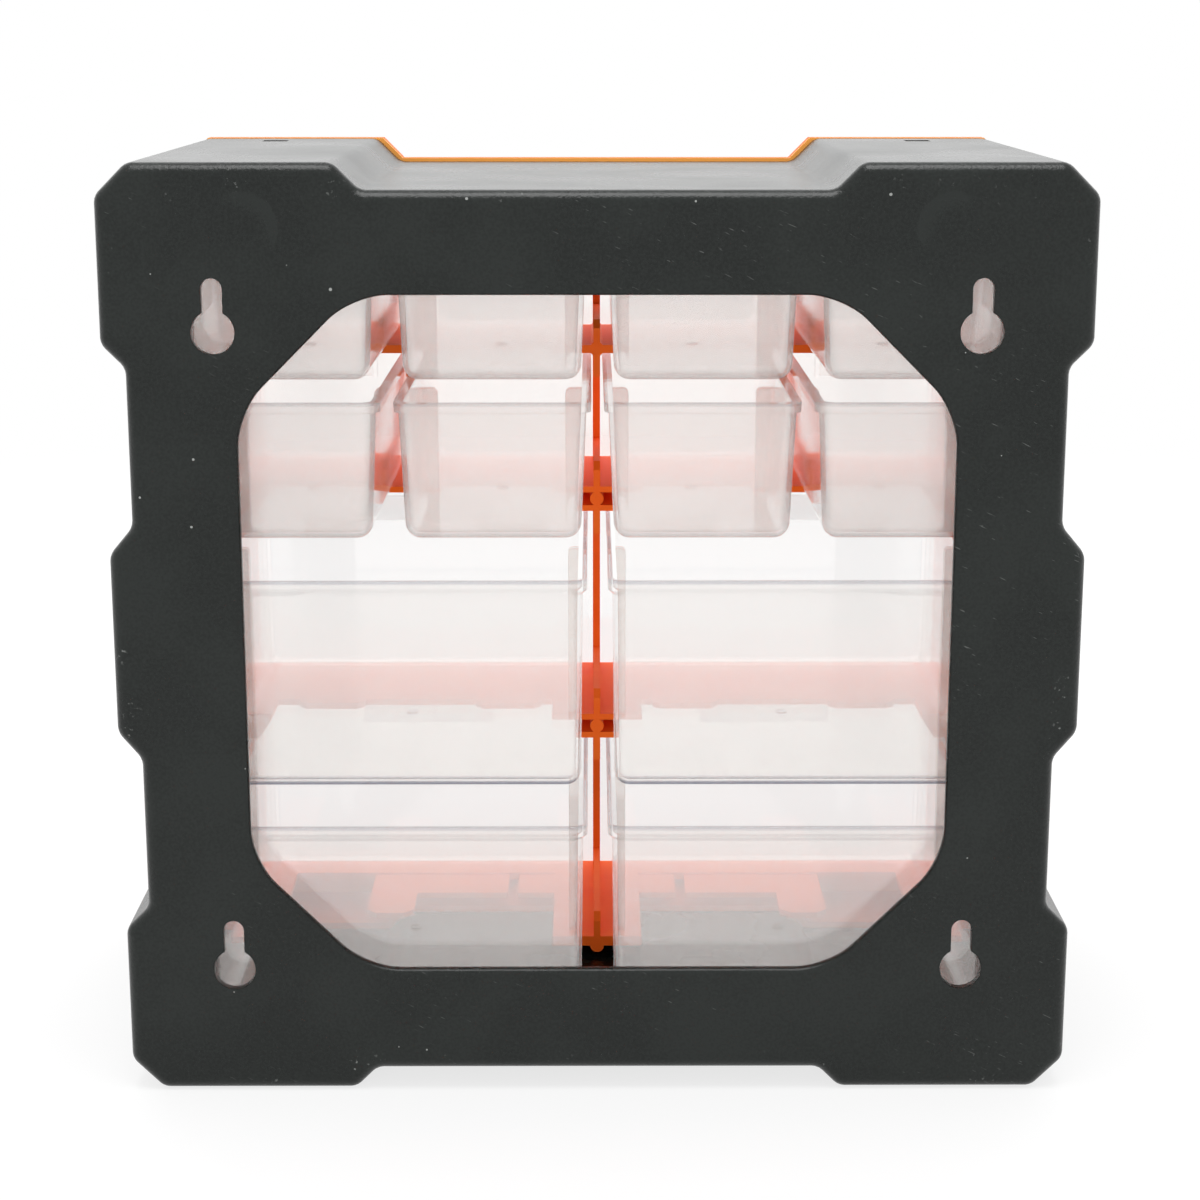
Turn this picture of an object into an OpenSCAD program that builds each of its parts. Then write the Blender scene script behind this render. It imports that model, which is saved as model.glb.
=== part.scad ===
// Small parts cabinet: a notched casing with a window in its back, a front frame that
// carries shelves and runner rails, eight small drawers and four wide drawers.
// Millimetres. The front faces -Y, +Z is up, the origin is at the middle of the base.

/* [Cabinet] */
// Width of the cabinet at its front
cabinet_w = 260.5; // [252:0.5:280]
// Height of the cabinet at its front
cabinet_h = 254.4; // [246:0.1:280]

/* [Drawers] */
// Height of a small drawer
small_h = 37; // [30:0.5:48]
// Length of a drawer behind its front panel
drawer_l = 142.8; // [120:0.2:160]
// Thickness of the drawer walls and floor
drawer_wall = 1.4; // [1:0.1:2]
// Draft of the small drawers' side walls, degrees
small_draft = 2.5; // [1:0.5:4]
// Draft of the wide drawers' side walls, degrees
wide_draft = 0.6; // [0.2:0.2:2]
// How far a drawer rim stands out from its wall
rim_out = 1.2; // [0.6:0.1:1.8]
// Height of the small drawers' solid rim
small_rim_h = 2.6; // [1.4:0.2:4]
// Height of the wide drawers' stepped rim
wide_rim_h = 4.3; // [3:0.1:7]
// Radius along the bottom edges of a drawer
floor_round = 4.2; // [3:0.2:7]
// Radius of a drawer's upright corners
corner_round = 4; // [3.2:0.2:7]
// Step of a divider rib from the side wall of a small drawer
small_rib_out = 3.4; // [2:0.2:6]
// Step of a divider rib from the side wall of a wide drawer
wide_rib_out = 2.6; // [2:0.2:6]
// Thickness of each divider rib
rib_t = 1.2; // [0.8:0.1:2]
// Slot between two divider ribs
rib_slot = 1.6; // [1:0.1:3]
// Drop of the divider ribs below the rim
rib_drop = 5.4; // [3:0.2:10]
// Distance from a drawer's rear wall to its divider slot
rib_place = 72; // [40:1:90]

/* [Drawer fronts] */
// Thickness of a front panel
panel_t = 2; // [1.6:0.1:3]
// Overlap of a front panel on the frame
panel_lap = 0.8; // [0.5:0.1:0.9]
// Corner radius of a front panel
panel_round = 1.6; // [0.8:0.2:3]
// How far a pull stands out from the panel
pull_out = 6.9; // [6:0.1:14]
// Height of a pull
pull_h = 11; // [9:0.5:16]
// Thickness of a pull's shell
pull_t = 1.5; // [1.2:0.1:2]
// Width of a pull on a small drawer
small_pull_w = 26; // [16:1:36]
// Width of a pull on a wide drawer
wide_pull_w = 46; // [24:1:80]
// Distance of a pull below the top of its panel
pull_drop = 5; // [3:0.5:10]

/* [Fits] */
// Gap between a drawer's base and its rails
floor_gap = 0.3; // [0.2:0.1:0.6]
// Gap at each side of a small drawer's rim
small_gap = 0.5; // [0.4:0.1:1]
// Gap at each side of a wide drawer's rim
wide_gap = 1.6; // [0.5:0.1:2]
// Gap behind a closed front panel
panel_gap = 0.3; // [0.2:0.1:0.6]
// Room above a small drawer
small_head = 3; // [3:0.5:8]
// Room above a wide drawer
wide_head = 3; // [3:0.1:8]
// Gap between the frame's skirt and the casing
skirt_gap = 0.3; // [0.2:0.1:0.6]
// Room behind the drawers
rear_room = 8.6; // [8:0.2:30]

/* [Casing] */
// Thickness of the casing's side walls
wall = 2.4; // [1.8:0.2:3.2]
// Thickness of the casing's back
back_wall = 2.6; // [2:0.2:4]
// Draft of the casing's sides and top, degrees
casing_draft = 0.5; // [0:0.1:1]
// Radius of the edge round the casing's back
edge_round = 3; // [2:0.2:4]
// Chamfer at the casing's corners
corner_cut = 8.5; // [7:0.5:12]
// Depth of the notches in the casing's sides
notch_depth = 6.3; // [4:0.1:7]
// Depth of the notch in the casing's top
top_notch_d = 7; // [4:0.1:8]
// Depth of the notch in the casing's base
base_notch_d = 5.8; // [4:0.1:7]
// Width of the notch in the top and in the base
top_notch_w = 122; // [90:1:140]
// Length of the slopes beside the middle block of a side
mid_slant = 7.5; // [5:0.1:9]
// Height of the block between the two notches of a side
mid_block_h = 48.6; // [40:0.1:54]
// Height of each notch in a side
side_notch_h = 42; // [34:0.5:44]
// Casing at each side of the drawers
side_border = 19.6; // [18:0.2:26]
// Casing above the drawers
top_border = 18.5; // [17:0.1:26]
// Casing below the drawers
bottom_border = 14.9; // [13:0.1:20]
// Margin of the window from each side of the back
window_side = 35.1; // [32:0.1:44]
// Margin of the window from the top of the back
window_top = 33.7; // [30:0.1:44]
// Margin of the window from the base of the back
window_base = 35.4; // [30:0.1:44]
// Chamfer of the window's corners
window_cut = 30.6; // [24:0.2:40]
// Radius that eases the window's corners
window_round = 22; // [10:1:26]
// Bevel round the window's outer edge
window_bevel = 0.7; // [0.3:0.1:1.2]

/* [Keyholes] */
// Spacing of the keyholes across the back
keyhole_x = 198.8; // [180:0.2:204]
// Spacing of the keyholes up the back
keyhole_z = 174.4; // [160:0.2:180]
// Height of the lower keyholes' round holes
keyhole_low = 35.5; // [28:0.1:44]
// Diameter of the round hole that takes a screw head
head_d = 11.3; // [9:0.1:13]
// Width of the slot that takes a screw shank
shank_w = 5.5; // [4:0.1:6]
// Rise from the round hole to the end of the slot
keyhole_rise = 11.2; // [8:0.1:14]

/* [Front frame] */
// Thickness of the frame's front plate
plate_t = 2.4; // [1.8:0.1:3.6]
// Depth of the frame's rim in front of the casing
bezel_depth = 7.8; // [5:0.1:14]
// How far the rim stands proud of the casing
bezel_proud = 0.2; // [0:0.1:1.2]
// How much shallower the rim's top notch is than the casing's
bezel_rise = 0.8; // [0:0.1:2]
// Chamfer round the front of the rim
bezel_bevel = 1.2; // [0.4:0.1:2]
// Thickness of the upright bars between drawers
mullion = 2.3; // [2:0.1:4]
// Thickness of the guide fins
fin_t = 2; // [1.2:0.1:2]
// Height of the guide fins above a shelf
fin_h = 7.4; // [3:0.1:9]
// Chamfer at the rear of the guide fins
fin_ease = 2.4; // [1:0.1:2.8]
// Drop of the guide fins below a rail
under_fin_h = 7; // [4:0.5:10]
// Thickness of the shelf between the small drawers
shelf_t = 2.4; // [1.8:0.1:3.4]
// Height of the double shelves over the wide drawers
rail_h = 7.5; // [6:0.1:10]
// Thickness of the flanges
flange_t = 1.8; // [1.4:0.1:2.4]
// Depth of a shelf behind the frame's front
shelf_l = 46.6; // [34:0.2:54]
// Depth of the lower shelf of a double shelf
sill_l = 12; // [9:0.5:20]
// Reach of the rails of the small drawers
small_rail_l = 56.5; // [55:0.5:90]
// Reach of the rails of the wide drawers
wide_rail_l = 64; // [60:0.1:100]
// Reach of the rails under the lowest drawers
base_rail_l = 71.4; // [60:0.1:100]
// Thickness of the middle rail under the lowest drawers
base_rail_t = 3; // [2:0.1:4]
// Half width of the middle rail
rail_half = 13.7; // [9:0.1:18]
// Half width of the rails between small drawers
small_rail_half = 9; // [6:0.5:14]
// Reach of a side rail under its drawer
side_rail_in = 11.4; // [6:0.2:14]
// Diameter of the round bosses on the middle rails
boss_d = 4.1; // [2.4:0.1:4.6]
// Diameter of the round boss under the base rail
base_boss_d = 4.2; // [2:0.1:4.6]
// Length of the round bosses
boss_l = 10; // [6:1:20]
// Half diagonal of the gusset where the fins cross the upper rails
gusset = 3; // [1.5:0.1:4]
// Reach of the shelf tabs behind the shelf
tab_l = 4.7; // [2:0.1:8]
// Step from the base sill down to the base shelf
base_step = 0.6; // [0:0.1:1]
// Depth of the base shelf
base_shelf_l = 30; // [20:0.5:40]
// Depth of the base shelf's tabs
base_tab_l = 48.8; // [42:0.2:54]
// Inner edge of a base tab from the middle
base_tab_in = 58.3; // [50:0.1:64]
// Outer edge of a base tab from the middle
base_tab_out = 73.2; // [68:0.1:84]
// Width of the slots in the base shelf
base_slot_w = 3.3; // [2:0.1:5]
// Distance of a base slot from the middle
base_slot_x = 27.3; // [20:0.1:40]
// Width of a tab on the shelf between the wide drawers
tab_w = 20.2; // [12:0.2:30]
// Thickness of the frame's skirt inside the casing
skirt_t = 2; // [1.4:0.1:3]
// Depth of the skirt inside the casing
skirt_l = 24; // [22:1:32]
// Distance of each snap hook from the middle
hook_x = 98; // [80:1:110]
// Width of a snap hook
hook_w = 6.4; // [4:0.2:10]
// Length of a snap hook
hook_l = 6; // [4:0.5:8]
// Distance of a snap hook behind the casing's front edge
hook_y = 13; // [10:0.5:15]
// Clearance round a snap hook in its slot
hook_gap = 0.6; // [0.4:0.1:1.5]

/* [Hidden] */
columns = 4;
corner_steps = 4;
edge_steps = 5;
window_steps = 8;
pull_steps = 10;
hole_facets = 64;
boss_facets = 32;
tiny = 0.01;
ring_round = 0.1;
diagonal_shift = tan(22.5);
chamfer_shift = 2 - sqrt(2);
rib_sides = [-1, 1];

small_open_w = (cabinet_w - 2 * side_border - (columns - 1) * mullion) / columns;
small_w = small_open_w - 2 * small_gap;
wide_open_w = 2 * small_open_w + mullion;
wide_w = wide_open_w - 2 * wide_gap;
small_open_h = floor_gap + small_h + small_head;
borders_h = top_border + bottom_border + shelf_t + 2 * rail_h;
wide_open_h = (cabinet_h - borders_h) / 2 - small_open_h;
wide_h = wide_open_h - floor_gap - wide_head;
column_pitch = small_open_w + mullion;
span = cabinet_w / 2 - side_border;

deck_4 = bottom_border;
deck_3 = deck_4 + wide_open_h + rail_h;
deck_2 = deck_3 + wide_open_h + rail_h;
deck_1 = deck_2 + small_open_h + shelf_t;

bezel_to_back = drawer_l - panel_gap + rear_room;
casing_depth = bezel_to_back - bezel_depth;
total_depth = bezel_to_back + panel_gap + panel_t + pull_out;
back_y = total_depth / 2;
edge_y = back_y - casing_depth;
bezel_y = back_y - bezel_to_back;
panel_y = bezel_y - panel_gap;

draft_grow = casing_depth * tan(casing_draft);
back_half_w = cabinet_w / 2 - draft_grow;
back_h = cabinet_h - draft_grow;
mid_z = back_h / 2;
block_up = mid_block_h / 2;
notch_up = block_up + mid_slant + side_notch_h;
mid_shift = tan(atan2(notch_depth, mid_slant) / 2);

keyhole_at = [
    for (x = [-keyhole_x / 2, keyhole_x / 2], z = [keyhole_low, keyhole_low + keyhole_z]) [x, z]
];

// Right half of the cabinet's outline, set in at the sides and top and apart from that at the base
function half_outline(inset, base, top_notch) =
    let (
        a = back_half_w - inset,
        top = back_h - inset,
        cut = corner_cut - chamfer_shift * inset,
        shift = diagonal_shift * inset,
        block = block_up - mid_shift * inset,
        mouth = top_notch_w / 2 + shift
    )
    [
        [mouth, base + base_notch_d],
        [mouth + base_notch_d, base],
        [a - cut, base],
        [a, base + cut],
        [a, mid_z - notch_up - notch_depth - shift],
        [a - notch_depth, mid_z - notch_up - shift],
        [a - notch_depth, mid_z - block - mid_slant],
        [a, mid_z - block],
        [a, mid_z + block],
        [a - notch_depth, mid_z + block + mid_slant],
        [a - notch_depth, mid_z + notch_up + shift],
        [a, mid_z + notch_up + notch_depth + shift],
        [a, top - cut],
        [a - cut, top],
        [mouth + top_notch, top],
        [mouth, top - top_notch]
    ];

function reversed(list) = [for (i = [len(list) - 1:-1:0]) list[i]];

// A right half and its mirror image, as one closed list
function mirrored(right) = concat(right, [for (p = reversed(right)) [-p.x, p.y]]);

// One outline ring at a depth, with the casing's draft; its base never drops below the floor
function outline_ring(y, inset, top_notch = top_notch_d) =
    let (half = half_outline(inset - (back_y - y) * tan(casing_draft), max(inset, 0), top_notch))
    [for (p = mirrored(half)) [p.x, y, p.y]];

// Convex faces that together close an outline ring: its right half, its left half and the middle
outline_right = [
    [0, 1, 2, 3, 4, 5],
    [0, 5, 6],
    [6, 7, 8, 9],
    [0, 6, 9, 10, 15],
    [10, 11, 12, 13, 14, 15]
];
half_last = len(half_outline(0, 0, 0)) - 1;
outline_last = 2 * half_last + 1;
outline_cap = concat(
    outline_right,
    [for (face = outline_right) [for (i = reversed(face)) outline_last - i]],
    [[0, half_last, half_last + 1, outline_last]]
);

// Closed surface through rings of equal length, with the faces that close its ends
module skin(rings, cap) {
    count = len(rings[0]);
    last = len(rings) - 1;
    sides = [
        for (i = [0:last - 1], j = [0:count - 1])
            let (k = (j + 1) % count)
            [i * count + j, (i + 1) * count + j, (i + 1) * count + k, i * count + k]
    ];
    last_cap = [for (face = cap) [for (j = reversed(face)) last * count + j]];
    polyhedron(
        points = [for (ring = rings) each ring],
        faces = concat(cap, sides, last_cap)
    );
}

module outline_skin(rings) {
    skin(rings, outline_cap);
}

// One face that closes a convex ring
function ring_cap(rings) = [[for (i = [0:len(rings[0]) - 1]) i]];

// Extrudes an outline drawn in X and Z between two depths
module along_y(from, to) {
    translate([0, to, 0])
        rotate([90, 0, 0])
            linear_extrude(to - from)
                children();
}

// Extrudes a profile drawn in Y and Z evenly about X = 0
module along_x(width) {
    rotate([90, 0, 90])
        linear_extrude(width, center = true)
            children();
}

module box(low, high) {
    translate(low)
        cube(high - low);
}

module both_sides() {
    children();
    mirror([1, 0, 0])
        children();
}

function unit(v) = v / norm(v);
function wrapped(angle) = angle > 180 ? angle - 360 : angle < -180 ? angle + 360 : angle;

// Arc that eases the corner at b between a and c
function eased_corner(a, b, c, radius, steps) =
    let (
        u = unit(a - b),
        v = unit(c - b),
        half = acos(u * v) / 2,
        middle = b + unit(u + v) * radius / sin(half),
        p = b + u * radius / tan(half) - middle,
        q = b + v * radius / tan(half) - middle,
        start = atan2(p.y, p.x),
        turn = wrapped(atan2(q.y, q.x) - start)
    )
    [
        for (i = [0:steps])
            let (angle = start + turn * i / steps)
            middle + radius * [cos(angle), sin(angle)]
    ];

function eased(points, radius, steps) =
    let (n = len(points))
    [
        for (i = [0:n - 1])
            each eased_corner(points[(i + n - 1) % n], points[i], points[(i + 1) % n], radius, steps)
    ];

// Ring of the window at a depth, let out by an amount
function window_ring(y, grow) =
    let (
        x = back_half_w - window_side + grow,
        low = window_base - grow,
        high = back_h - window_top + grow,
        cut = window_cut + chamfer_shift * grow,
        right = [[x - cut, low], [x, low + cut], [x, high - cut], [x - cut, high]]
    )
    [for (p = eased(mirrored(right), window_round, window_steps)) [p.x, y, p.y]];

// Window through the back, with a bevel on its outer edge
module window_cutter() {
    rings = [
        window_ring(back_y + window_bevel, 2 * window_bevel),
        window_ring(back_y - window_bevel, 0),
        window_ring(back_y - 2 * back_wall, 0)
    ];
    skin(rings, ring_cap(rings));
}

module keyhole_cut() {
    from = back_y - back_wall - edge_round;
    to = back_y + edge_round;
    for (at = keyhole_at) {
        translate([at.x, to, at.y])
            rotate([90, 0, 0])
                cylinder(h = to - from, d = head_d, $fn = hole_facets);
        translate([at.x, to, at.y + keyhole_rise])
            rotate([90, 0, 0])
                cylinder(h = to - from, d = shank_w, $fn = hole_facets);
        box(
            [at.x - shank_w / 2, from, at.y],
            [at.x + shank_w / 2, to, at.y + keyhole_rise]
        );
    }
}

// Slots in the casing's top and base that take the frame's hooks
module hook_slots() {
    half = hook_w / 2 + hook_gap;
    near = edge_y + hook_y - hook_gap;
    far = edge_y + hook_y + hook_l + hook_gap;
    both_sides()
        for (z = [0, cabinet_h])
            box([hook_x - half, near, z - 2 * wall], [hook_x + half, far, z + 2 * wall]);
}

module casing() {
    outer = concat(
        [
            for (i = [0:edge_steps])
                let (turn = 90 * i / edge_steps)
                outline_ring(back_y - edge_round * (1 - cos(turn)), edge_round * (1 - sin(turn)))
        ],
        [outline_ring(edge_y, 0)]
    );
    inner = [
        outline_ring(back_y - back_wall, wall),
        outline_ring(edge_y - wall, wall)
    ];
    color("#2b2d2c")
        difference() {
            outline_skin(outer);
            outline_skin(inner);
            window_cutter();
            keyhole_cut();
            hook_slots();
        }
}

// Frame rim, with a bevel round its front edge, and the skirt that enters the casing
module bezel_shell() {
    inset = wall + skirt_gap;
    difference() {
        union() {
            outline_skin([
                outline_ring(edge_y, -bezel_proud, top_notch_d - bezel_rise),
                outline_ring(bezel_y + bezel_bevel, -bezel_proud, top_notch_d - bezel_rise),
                outline_ring(bezel_y, bezel_bevel - bezel_proud, top_notch_d - bezel_rise)
            ]);
            outline_skin([outline_ring(edge_y + skirt_l, inset), outline_ring(bezel_y + plate_t, inset)]);
        }
        outline_skin([
            outline_ring(edge_y + skirt_l + wall, inset + skirt_t),
            outline_ring(bezel_y + plate_t, inset + skirt_t)
        ]);
        openings(bezel_y - plate_t, bezel_y + 2 * plate_t);
    }
}

// The drawer openings through the frame's front
module openings(from, to) {
    for (column = [0:columns - 1])
        for (deck = [deck_1, deck_2])
            box(
                [(column - columns / 2) * column_pitch + mullion / 2, from, deck],
                [(column + 1 - columns / 2) * column_pitch - mullion / 2, to, deck + small_open_h]
            );
    both_sides()
        for (deck = [deck_3, deck_4])
            box([mullion / 2, from, deck], [mullion / 2 + wide_open_w, to, deck + wide_open_h]);
}

// A fin that stands on a shelf, its rear end eased
module fin(x, deck, height, reach) {
    translate([x, 0, 0])
        along_x(fin_t)
            polygon([
                [bezel_y + plate_t / 2, deck - flange_t / 2],
                [bezel_y + reach, deck - flange_t / 2],
                [bezel_y + reach, deck + height - fin_ease],
                [bezel_y + reach - fin_ease, deck + height],
                [bezel_y + plate_t / 2, deck + height]
            ]);
}

// A fin that hangs below a rail
module under_fin(x, top, reach) {
    box(
        [x - fin_t / 2, bezel_y + plate_t / 2, top - under_fin_h],
        [x + fin_t / 2, bezel_y + reach, top + flange_t / 2]
    );
}

// Flat shelf piece from one X to another, its top at the deck
module deck_plate(x_from, x_to, deck, thick, reach) {
    box([x_from, bezel_y + plate_t / 2, deck - thick], [x_to, bezel_y + reach, deck]);
}

// A tab behind a shelf with its corners cut
module shelf_tab(x_from, x_to, deck, thick, reach, cut) {
    root = bezel_y + plate_t / 2;
    tip = bezel_y + reach;
    translate([0, 0, deck - thick])
        linear_extrude(thick)
            polygon([
                [x_from, root],
                [x_to, root],
                [x_to, tip - cut],
                [x_to - cut, tip],
                [x_from + cut, tip],
                [x_from, tip - cut]
            ]);
}

// Rail along each side of the drawers, with its web, its end plate and a fin beside the drawer
module side_rail(deck, high, reach) {
    low_in = side_rail_in * 2 / 3;
    both_sides() {
        deck_plate(span - side_rail_in, span + fin_t, deck, flange_t, reach);
        deck_plate(span - low_in, span + fin_t, deck - high + flange_t, flange_t, reach);
        deck_plate(span, span + fin_t, deck, high, reach);
        along_y(bezel_y + reach - flange_t, bezel_y + reach)
            polygon([
                [span + fin_t, deck],
                [span - side_rail_in, deck],
                [span - side_rail_in, deck - flange_t],
                [span - low_in, deck - high],
                [span + fin_t, deck - high]
            ]);
        fin(span + fin_t / 2, deck, fin_h, reach);
    }
}

// Rails between the small drawers of a row
module small_rails(deck, thick) {
    low = column_pitch - small_rail_half;
    high = column_pitch + small_rail_half;
    both_sides()
        deck_plate(low, high, deck, thick, small_rail_l);
}

// Single shelf between the two rows of small drawers
module upper_shelf() {
    deck_plate(-span - tiny, span + tiny, deck_1, shelf_t, shelf_l);
    deck_plate(-rail_half, rail_half, deck_1, shelf_t, small_rail_l);
    for (column = [-1:1]) {
        x = column * column_pitch;
        fin(x, deck_1, fin_h, small_rail_l);
        under_fin(x, deck_1 - shelf_t, small_rail_l);
        translate([x, bezel_y + plate_t / 2, deck_1 - shelf_t / 2])
            rotate([0, 45, 0])
                translate([-gusset / sqrt(2), 0, -gusset / sqrt(2)])
                    cube([gusset * sqrt(2), small_rail_l - plate_t / 2, gusset * sqrt(2)]);
    }
    small_rails(deck_1, shelf_t);
    side_rail(deck_1, shelf_t + flange_t, small_rail_l);
}

// Double shelf with an I-shaped middle rail
module double_shelf(deck, reach) {
    low = deck - rail_h;
    deck_plate(-span - tiny, span + tiny, deck, flange_t, shelf_l);
    deck_plate(-span - tiny, span + tiny, low + flange_t, flange_t, sill_l);
    deck_plate(-rail_half, rail_half, deck, flange_t, reach);
    deck_plate(-rail_half / 2, rail_half / 2, low + flange_t, flange_t, reach);
    deck_plate(-fin_t / 2, fin_t / 2, deck, rail_h, reach);
    fin(0, deck, fin_h, reach);
    under_fin(0, low, reach);
    translate([0, bezel_y + reach, deck - rail_h / 2])
        rotate([90, 0, 0])
            cylinder(h = boss_l, d = boss_d, $fn = boss_facets);
    side_rail(deck, rail_h, reach);
}

module lower_shelves() {
    double_shelf(deck_2, small_rail_l);
    small_rails(deck_2, flange_t);
    both_sides() {
        deck_plate(column_pitch - fin_t / 2, column_pitch + fin_t / 2, deck_2, rail_h, shelf_l);
        fin(column_pitch, deck_2, fin_h, small_rail_l);
    }
    double_shelf(deck_3, wide_rail_l);
    both_sides()
        for (middle = [wide_open_w / 4, wide_open_w * 3 / 4])
            shelf_tab(middle - tab_w / 2, middle + tab_w / 2, deck_3, flange_t, shelf_l + tab_l, tab_l / 2);
}

// Sill and stepped shelf under the lowest drawers, with slots, longer tabs and rails
module base_shelf() {
    low = deck_4 - base_step;
    deck_plate(-span - tiny, span + tiny, deck_4, flange_t, sill_l);
    deck_plate(-rail_half, rail_half, deck_4, base_rail_t, base_rail_l);
    both_sides() {
        difference() {
            deck_plate(0, base_tab_in + tiny, low, flange_t, base_shelf_l);
            box(
                [base_slot_x - base_slot_w / 2, bezel_y + sill_l, low - 2 * flange_t],
                [base_slot_x + base_slot_w / 2, bezel_y + 2 * base_shelf_l, low + flange_t]
            );
        }
        shelf_tab(base_tab_in, base_tab_out, low, flange_t, base_tab_l, base_slot_w);
    }
    fin(0, deck_4, fin_h, base_rail_l);
    translate([0, bezel_y + base_rail_l, deck_4 - base_rail_t])
        rotate([90, 0, 0])
            cylinder(h = boss_l, d = base_boss_d, $fn = boss_facets);
    both_sides() {
        deck_plate(span - side_rail_in, span + fin_t, deck_4, flange_t, base_rail_l);
        fin(span + fin_t / 2, deck_4, fin_h, base_rail_l);
    }
}

// Upright bars, stiffened behind the front plate
module mullions() {
    top = deck_1 + small_open_h;
    box(
        [-mullion / 2, bezel_y + plate_t / 2, deck_4 - flange_t],
        [mullion / 2, edge_y, top + flange_t]
    );
    both_sides()
        box(
            [column_pitch - mullion / 2, bezel_y + plate_t / 2, deck_2 - flange_t],
            [column_pitch + mullion / 2, edge_y, top + flange_t]
        );
}

// Wedges on the skirt that snap into the casing's slots
module hooks() {
    root = edge_y + hook_y;
    seat = wall + skirt_gap + skirt_t / 2;
    rise = wall + skirt_gap - hook_gap;
    top = cabinet_h - (hook_y + hook_l) * tan(casing_draft);
    both_sides()
        translate([hook_x, 0, 0])
            along_x(hook_w) {
                polygon([
                    [root, top - seat],
                    [root, top - seat + skirt_t / 2 + rise],
                    [root + hook_l, top - seat + skirt_t / 2],
                    [root + hook_l, top - seat]
                ]);
                polygon([
                    [root, seat],
                    [root + hook_l, seat],
                    [root + hook_l, seat - skirt_t / 2],
                    [root, seat - skirt_t / 2 - rise]
                ]);
            }
}

module front_frame() {
    color("#e2541a")
        union() {
            bezel_shell();
            mullions();
            upper_shelf();
            lower_shelves();
            base_shelf();
            hooks();
        }
}

// Rounded rectangle ring of a drawer at a height
function tub_ring(half, front, rear, radius, z) =
    let (r = max(radius, ring_round))
    [
        for (
            corner = [
                [half - r, rear - r, 0],
                [r - half, rear - r, 90],
                [r - half, front + r, 180],
                [half - r, front + r, 270]
            ],
            i = [0:corner_steps]
        )
            let (turn = corner.z + 90 * i / corner_steps)
            [corner.x + r * cos(turn), corner.y + r * sin(turn), z]
    ];

// Half width of a drawer's outer wall at a height, below its rim
function tub_half(w, h, draft, z) = w / 2 - rim_out - (h - z) * tan(draft);

// Open tub, outside wall up to the rim and inside wall down to the floor
module tub(w, h, draft, rim_h, rim_wall) {
    rear_draft = draft / 2;
    inner_round = floor_round - drawer_wall;
    outer_corner = corner_round;
    inner_corner = corner_round - drawer_wall;
    step_z = h - rim_h;
    ledge_z = step_z + drawer_wall;
    shoulder_z = ledge_z - rim_out;
    front = -panel_t / 2;
    rim_front = front - panel_t / 4;
    inner_front = panel_gap;
    outer = [
        for (i = [0:corner_steps])
            let (
                turn = 90 * i / corner_steps,
                z = floor_round * (1 - cos(turn)),
                inset = floor_round * (1 - sin(turn))
            )
            tub_ring(
                tub_half(w, h, draft, z) - inset,
                front,
                drawer_l - rim_out - (h - z) * tan(rear_draft) - inset,
                outer_corner - inset / 2,
                z
            )
    ];
    rim = [
        tub_ring(
            tub_half(w, h, draft, step_z),
            front,
            drawer_l - rim_out - rim_h * tan(rear_draft),
            outer_corner,
            step_z
        ),
        tub_ring(w / 2, rim_front, drawer_l, outer_corner + rim_out / 2, step_z),
        tub_ring(w / 2, rim_front, drawer_l, outer_corner + rim_out / 2, h),
        tub_ring(w / 2 - rim_wall, inner_front, drawer_l - rim_wall, inner_corner, h),
        tub_ring(w / 2 - rim_wall, inner_front, drawer_l - rim_wall, inner_corner, ledge_z)
    ];
    inner = [
        for (i = [corner_steps:-1:0])
            let (
                turn = 90 * i / corner_steps,
                z = drawer_wall + inner_round * (1 - cos(turn)),
                inset = inner_round * (1 - sin(turn))
            )
            tub_ring(
                tub_half(w, h, draft, z) - drawer_wall - inset,
                inner_front + inset,
                drawer_l - rim_out - drawer_wall - (h - z) * tan(rear_draft) - inset,
                inner_corner - inset / 3,
                z
            )
    ];
    shoulder = [
        tub_ring(
            tub_half(w, h, draft, shoulder_z) - drawer_wall,
            inner_front,
            drawer_l - rim_out - drawer_wall - (h - shoulder_z) * tan(rear_draft),
            inner_corner,
            shoulder_z
        )
    ];
    rings = concat(outer, rim, shoulder, inner);
    skin(rings, ring_cap(rings));
}

// Two ribs on each side wall that hold a divider
module divider_ribs(w, h, draft, out) {
    top = h - rib_drop;
    mid_wall = drawer_wall / 2;
    arm = floor_round - mid_wall;
    base = tub_half(w, h, draft, 0);
    both_sides()
        for (side = rib_sides)
            along_y(
                drawer_l - rib_place + side * (rib_slot + rib_t) / 2 - rib_t / 2,
                drawer_l - rib_place + side * (rib_slot + rib_t) / 2 + rib_t / 2
            )
                polygon([
                    [tub_half(w, h, draft, top) - mid_wall, top],
                    [tub_half(w, h, draft, top) - drawer_wall - out / 2, top],
                    [tub_half(w, h, draft, top - out / 2) - drawer_wall - out, top - out / 2],
                    [base - drawer_wall - out, mid_wall],
                    [base - floor_round, mid_wall],
                    [base - floor_round + arm * sin(45), floor_round - arm * cos(45)],
                    [tub_half(w, h, draft, floor_round) - mid_wall, floor_round]
                ]);
}

// Quarter oval of a pull, its flat side on the panel
function pull_profile(out, high) =
    concat(
        [[0, 0]],
        [
            for (i = [0:pull_steps])
                let (turn = 90 * i / pull_steps)
                [-out * cos(turn), high * sin(turn)]
        ]
    );

// Hooded pull near the top of a panel, open below
module pull(width, open_h) {
    translate([0, -panel_t, open_h - floor_gap + panel_lap - pull_drop - pull_h])
        difference() {
            along_x(width)
                polygon(pull_profile(pull_out, pull_h));
            translate([0, 0, -tiny])
                along_x(width - 2 * pull_t)
                    polygon(pull_profile(pull_out - pull_t, pull_h - pull_t));
        }
}

module front_panel(open_w, open_h) {
    half = open_w / 2 + panel_lap;
    low = -floor_gap - panel_lap;
    high = open_h - floor_gap + panel_lap;
    along_y(-panel_t, 0)
        polygon(eased([[-half, low], [half, low], [half, high], [-half, high]], panel_round, corner_steps));
}

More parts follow.
